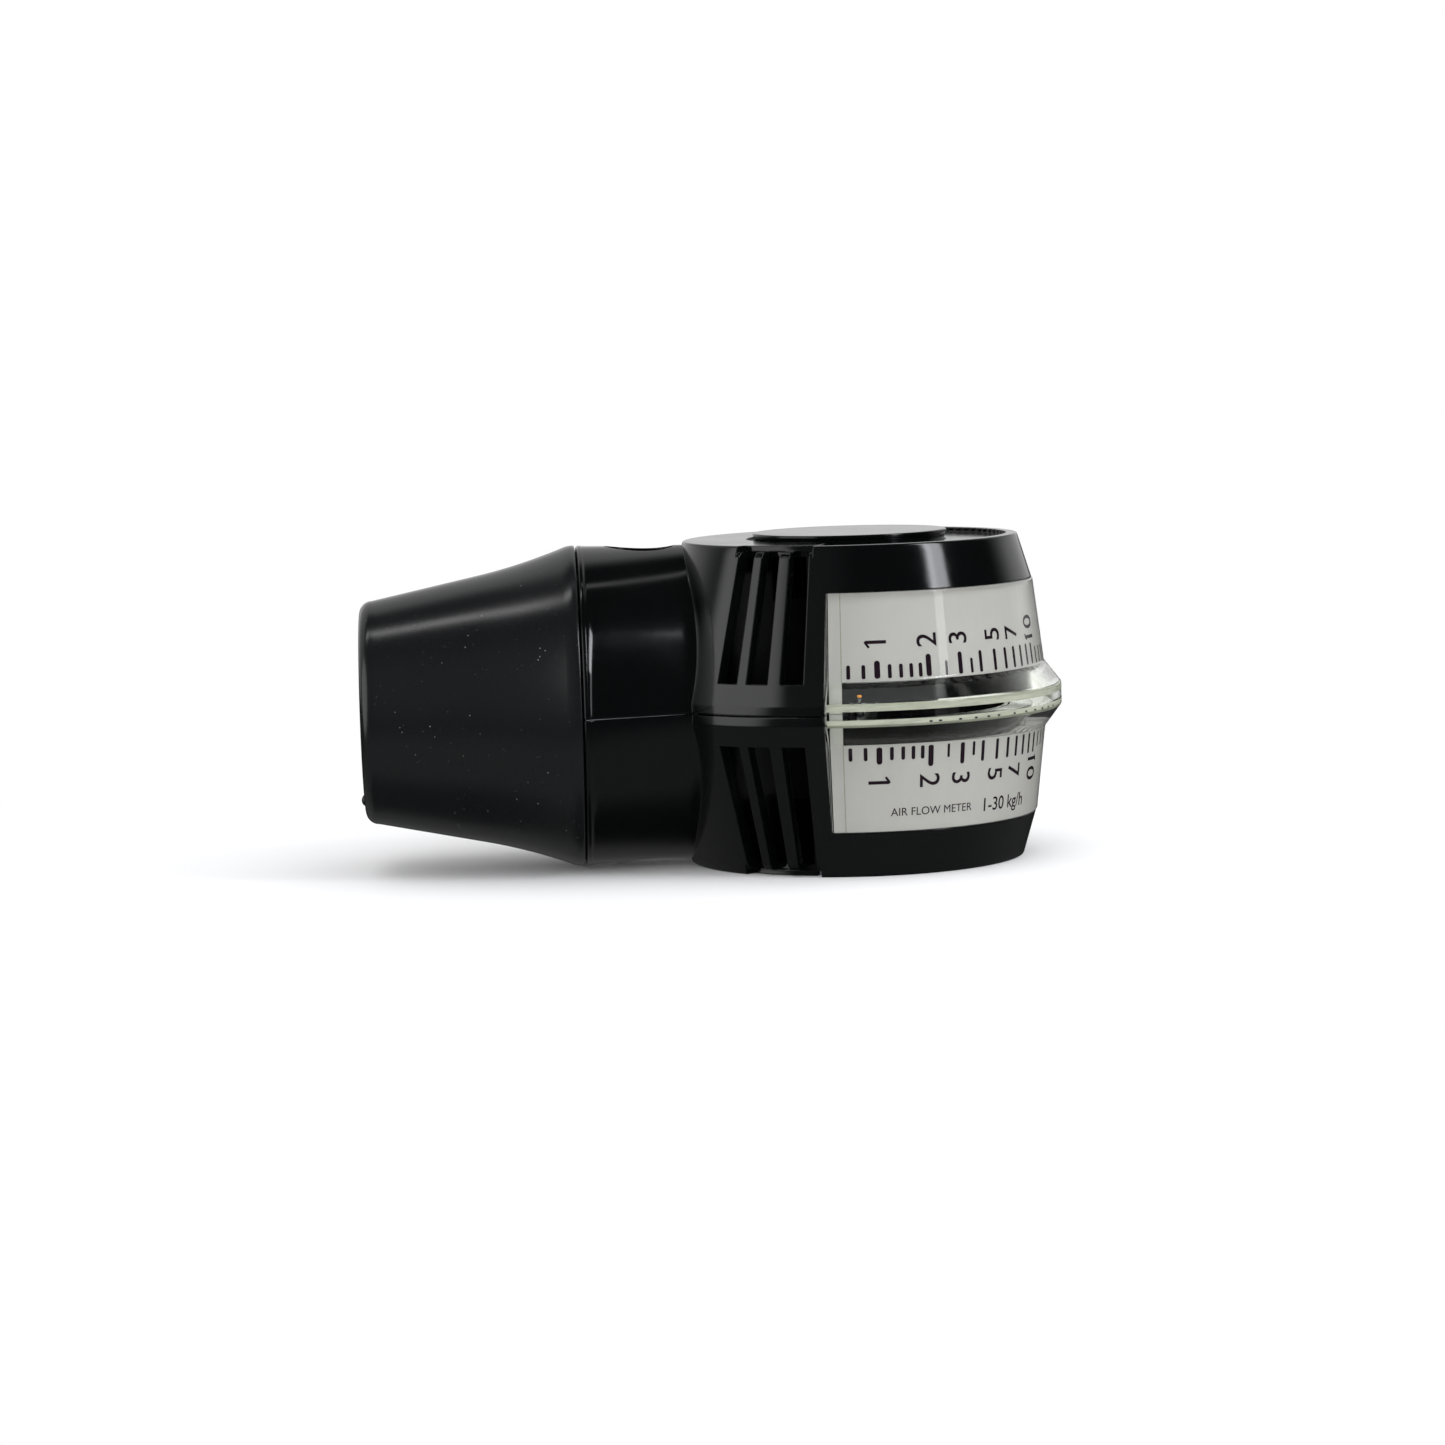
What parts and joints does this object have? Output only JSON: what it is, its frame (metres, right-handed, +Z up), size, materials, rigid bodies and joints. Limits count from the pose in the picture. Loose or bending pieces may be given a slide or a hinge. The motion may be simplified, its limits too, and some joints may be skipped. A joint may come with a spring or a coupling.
{
  "type": "carburettor air-flow meter",
  "caption": "Hand-held air-flow meter: a drum head with a curved scale window and swinging vane, a short neck and a pull-off rubber cone.",
  "frame": {"origin": "centre of the head's lower face, on the head's vertical axis", "axes": "+Z up along the head's axis, -X from the head along the neck to the rubber cone's mouth"},
  "size_m": [0.15, 0.0892, 0.0702],
  "materials": {
    "black_gloss_plastic": "moulded black plastic, glossy with faint moulding texture",
    "black_rubber": "satin black rubber with fine dust",
    "clear_plastic": "clear acrylic, slightly green at its edges",
    "scale_card": "pale grey-green printed card",
    "scale_ink": "printed marks",
    "orange_plastic": "moulded orange plastic",
    "aluminium": "plain sheet and turned aluminium",
    "brass": "turned brass",
    "steel": "plain steel"
  },
  "bodies": {
    "housing": {"upper_housing": "black_gloss_plastic", "lower_housing": "black_gloss_plastic", "top_disc": "black_gloss_plastic", "flow_partition": "black_gloss_plastic", "lower_scroll": "black_gloss_plastic", "upper_scroll": "black_gloss_plastic", "scale_window": "clear_plastic", "upper_scale_strip": "scale_card", "lower_scale_strip": "scale_card", "cone_seal_ring": "black_rubber", "housing_screw_1": "steel", "housing_screw_2": "steel", "lower_pivot_screw": "brass", "upper_pivot_screw": "brass", "lower_pivot_nut": "brass", "upper_pivot_nut": "brass", "hairspring": "brass", "spring_stud": "brass", "rest_stop": "steel", "full_scale_stop": "steel"},
    "vane": {"vane_shaft": "steel", "vane_hub": "aluminium", "vane_plate": "aluminium", "pointer": "orange_plastic", "balance_arm": "steel", "counterweight": "brass", "balance_nut": "brass", "spring_collet": "brass"},
    "cone": {"rubber_cone": "black_rubber"}
  },
  "joints": [
    {"name": "vane_swing", "type": "hinge", "parent": "housing", "child": "vane", "pos_m": [0, 0, 0.0345], "axis": [0, 0, 1], "range_deg": [0, 145], "stiffness_Nm_per_rad": 0.0002},
    {"name": "cone_pull_off", "type": "slide", "parent": "housing", "child": "cone", "axis": [-1, 0, 0], "range_m": [0, 0.03]}
  ]
}
